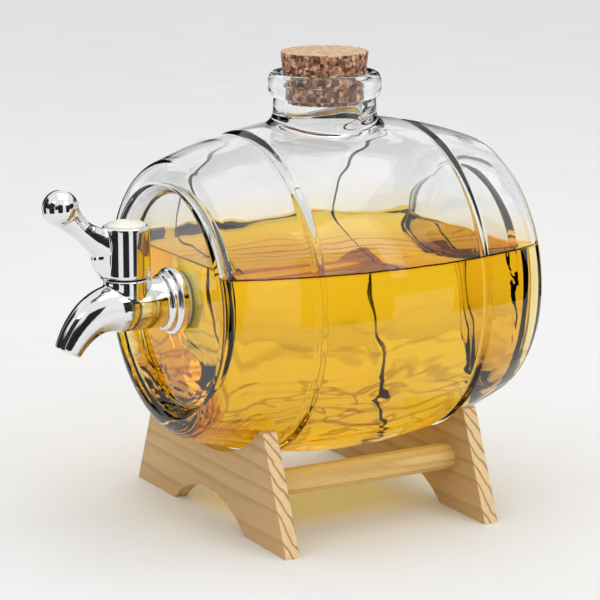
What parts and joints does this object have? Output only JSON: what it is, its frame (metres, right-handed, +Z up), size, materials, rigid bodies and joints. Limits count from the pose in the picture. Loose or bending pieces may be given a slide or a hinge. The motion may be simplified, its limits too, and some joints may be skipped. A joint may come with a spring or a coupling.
{
  "type": "glass barrel drink dispenser",
  "caption": "Clear glass barrel with a neck and a cork, lying in a wooden cradle stand, with a chrome lever tap in its front head that turns to pour the drink inside.",
  "frame": {"origin": "on the table, under the middle of the whole object's box", "axes": "+Z up, -Y out of the front head towards the tap's mouth, so the barrel's axis lies along Y, and +X to the right when the tap points at the viewer"},
  "size_m": [0.121, 0.175, 0.166],
  "materials": {
    "pine": "planed pine, clear oil",
    "rail_wood": "turned dowel, clear oil",
    "clear_glass": "blown, polished",
    "cork": "pressed cork grains",
    "chrome": "polished chrome plate",
    "black_rubber": "smooth moulded",
    "white_silicone": "soft moulded",
    "steel": "bright steel",
    "white_plastic": "moulded, satin",
    "ivory_plastic": "moulded, glossy"
  },
  "bodies": {
    "stand": {"front_cradle": "pine", "rear_cradle": "pine", "left_rail": "rail_wood", "right_rail": "rail_wood"},
    "barrel": {"glass_barrel": "clear_glass", "outer_gasket": "white_silicone", "inner_gasket": "white_silicone", "shank_washer": "steel", "shank_nut": "white_plastic", "tap_body": "chrome", "bonnet_ring": "chrome"},
    "handle": {"tap_handle": "chrome", "valve_plug": "white_plastic", "upper_seal": "black_rubber", "lower_seal": "black_rubber", "handle_screw": "steel", "handle_button": "ivory_plastic"},
    "cork": {"cork_stopper": "cork"}
  },
  "joints": [
    {"name": "barrel_lift", "type": "slide", "parent": "stand", "child": "barrel", "axis": [0, 0, 1], "range_m": [0, 0.045]},
    {"name": "tap_turn", "type": "hinge", "parent": "barrel", "child": "handle", "pos_m": [0, -0.05665, 0.0815], "axis": [0, 0, 1], "range_deg": [-90, 90]},
    {"name": "cork_lift", "type": "slide", "parent": "barrel", "child": "cork", "axis": [0, 0, 1], "range_m": [0, 0.03]}
  ]
}
